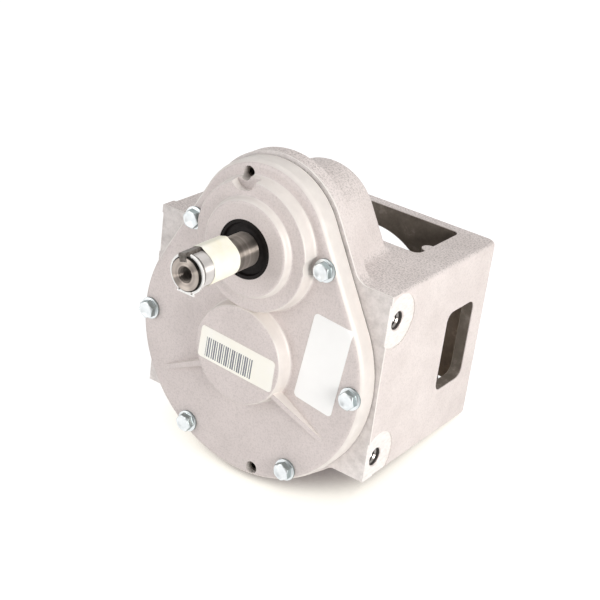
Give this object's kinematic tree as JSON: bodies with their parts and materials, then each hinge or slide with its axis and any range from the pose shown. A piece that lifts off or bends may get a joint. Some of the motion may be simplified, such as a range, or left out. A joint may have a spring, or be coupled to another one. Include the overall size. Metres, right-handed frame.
{
  "type": "gear reducer",
  "caption": "Single-stage spur speed reducer: cast case with open windowed coupling box, keyed input shaft through a bossed round cover.",
  "frame": {"origin": "centre of the rear register hole, on the rear mounting face", "axes": "+Y out of the rear face along the shafts, +Z from the output shaft to the input shaft; the keyed input shaft points to -Y"},
  "size_m": [0.165, 0.1987, 0.2021],
  "materials": {
    "cast_aluminium": "sand cast",
    "gasket_paper": "matte",
    "zinc_steel": "zinc plated",
    "dark_steel": "oiled",
    "ground_steel": "ground",
    "gear_steel": "hobbed",
    "bearing_steel": "polished",
    "cage_brass": "satin",
    "seal_rubber": "satin",
    "masking_tape": "matte"
  },
  "bodies": {
    "case": {"housing": "cast_aluminium", "cover": "cast_aluminium", "gasket": "gasket_paper", "cover_screws": "zinc_steel", "dowel_pins": "dark_steel", "input_seal": "seal_rubber", "input_seal_spring": "ground_steel", "output_seal": "seal_rubber", "output_seal_spring": "ground_steel", "input_front_bearing_outer_ring": "bearing_steel", "input_rear_bearing_outer_ring": "bearing_steel", "output_front_bearing_outer_ring": "bearing_steel", "output_rear_bearing_outer_ring": "bearing_steel"},
    "output": {"output_shaft": "ground_steel", "output_gear": "gear_steel", "gear_key": "dark_steel", "gear_circlip": "dark_steel", "output_key": "dark_steel", "output_front_bearing_inner_ring": "bearing_steel", "output_rear_bearing_inner_ring": "bearing_steel"},
    "input": {"input_shaft": "ground_steel", "input_key": "dark_steel", "shaft_clip": "zinc_steel", "key_tape": "masking_tape", "input_front_bearing_inner_ring": "bearing_steel", "input_rear_bearing_inner_ring": "bearing_steel"},
    "input_front_cage": {"input_front_bearing_balls": "bearing_steel", "input_front_bearing_cage": "cage_brass"},
    "input_rear_cage": {"input_rear_bearing_balls": "bearing_steel", "input_rear_bearing_cage": "cage_brass"},
    "output_front_cage": {"output_front_bearing_balls": "bearing_steel", "output_front_bearing_cage": "cage_brass"},
    "output_rear_cage": {"output_rear_bearing_balls": "bearing_steel", "output_rear_bearing_cage": "cage_brass"}
  },
  "joints": [
    {"name": "output_spin", "type": "hinge", "parent": "case", "child": "output", "pos_m": [0, 0, 0], "axis": [0, 1, 0], "continuous": true},
    {"name": "input_spin", "type": "hinge", "parent": "case", "child": "input", "pos_m": [0, 0, 0.06985], "axis": [0, 1, 0], "continuous": true},
    {"name": "input_front_cage_spin", "type": "hinge", "parent": "case", "child": "input_front_cage", "pos_m": [0, 0, 0.06985], "axis": [0, 1, 0], "continuous": true},
    {"name": "input_rear_cage_spin", "type": "hinge", "parent": "case", "child": "input_rear_cage", "pos_m": [0, 0, 0.06985], "axis": [0, 1, 0], "continuous": true},
    {"name": "output_front_cage_spin", "type": "hinge", "parent": "case", "child": "output_front_cage", "pos_m": [0, 0, 0], "axis": [0, 1, 0], "continuous": true},
    {"name": "output_rear_cage_spin", "type": "hinge", "parent": "case", "child": "output_rear_cage", "pos_m": [0, 0, 0], "axis": [0, 1, 0], "continuous": true}
  ],
  "couplings": [
    {"joint": "input_spin", "follows": "output_spin", "ratio": -4.1765},
    {"joint": "input_front_cage_spin", "follows": "output_spin", "ratio": -1.5933},
    {"joint": "input_rear_cage_spin", "follows": "output_spin", "ratio": -1.5944},
    {"joint": "output_front_cage_spin", "follows": "output_spin", "ratio": 0.38149},
    {"joint": "output_rear_cage_spin", "follows": "output_spin", "ratio": 0.39652}
  ]
}
